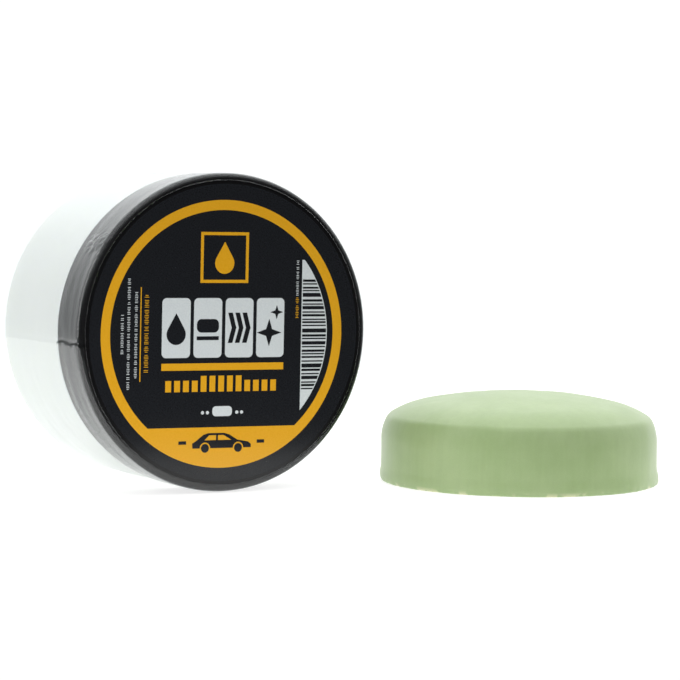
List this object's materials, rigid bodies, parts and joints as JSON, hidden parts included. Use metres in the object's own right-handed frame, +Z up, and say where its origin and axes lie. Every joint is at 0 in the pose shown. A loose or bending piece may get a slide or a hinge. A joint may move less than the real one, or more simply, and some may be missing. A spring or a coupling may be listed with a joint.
{
  "type": "clay bar",
  "caption": "Round detailing clay puck lying beside its straight-sided screw-lid jar, which rests on its side with its label facing out.",
  "frame": {"origin": "middle of the set's footprint, on the surface it lies on", "axes": "+Z up, the jar's lid faces -Y and the clay puck is on the +X side; the jar's screw axis leans 0.70 degrees back from -Y, so the lid faces slightly up"},
  "size_m": [0.1514, 0.0898, 0.0764],
  "materials": {
    "jar_plastic": "satin",
    "lid_plastic": "gloss",
    "liner_foam": "matte",
    "label": "gloss",
    "seal_film": "gloss",
    "clay": "matte"
  },
  "bodies": {
    "jar": {"jar": "jar_plastic", "jar_seal_film": "seal_film"},
    "liner": {"lid_liner": "liner_foam"},
    "lid": {"lid": "lid_plastic", "lid_label": "label", "lid_seal_film": "seal_film"},
    "clay": {"clay_bar": "clay"}
  },
  "joints": [
    {"name": "lid_rise", "type": "slide", "parent": "jar", "child": "liner", "axis": [0, -0.9999, 0.0122], "range_m": [0, 0.0168]},
    {"name": "lid_turn", "type": "hinge", "parent": "liner", "child": "lid", "pos_m": [-0.0376, -0.003, 0.03827], "axis": [0, -0.9999, 0.0122], "range_deg": [0, 1440]},
    {"name": "clay_lift", "type": "slide", "parent": "jar", "child": "clay", "axis": [0, 0, 1], "range_m": [0, 0.09]}
  ],
  "couplings": [
    {"joint": "lid_rise", "follows": "lid_turn", "m_per_rad": 0.00066845}
  ]
}
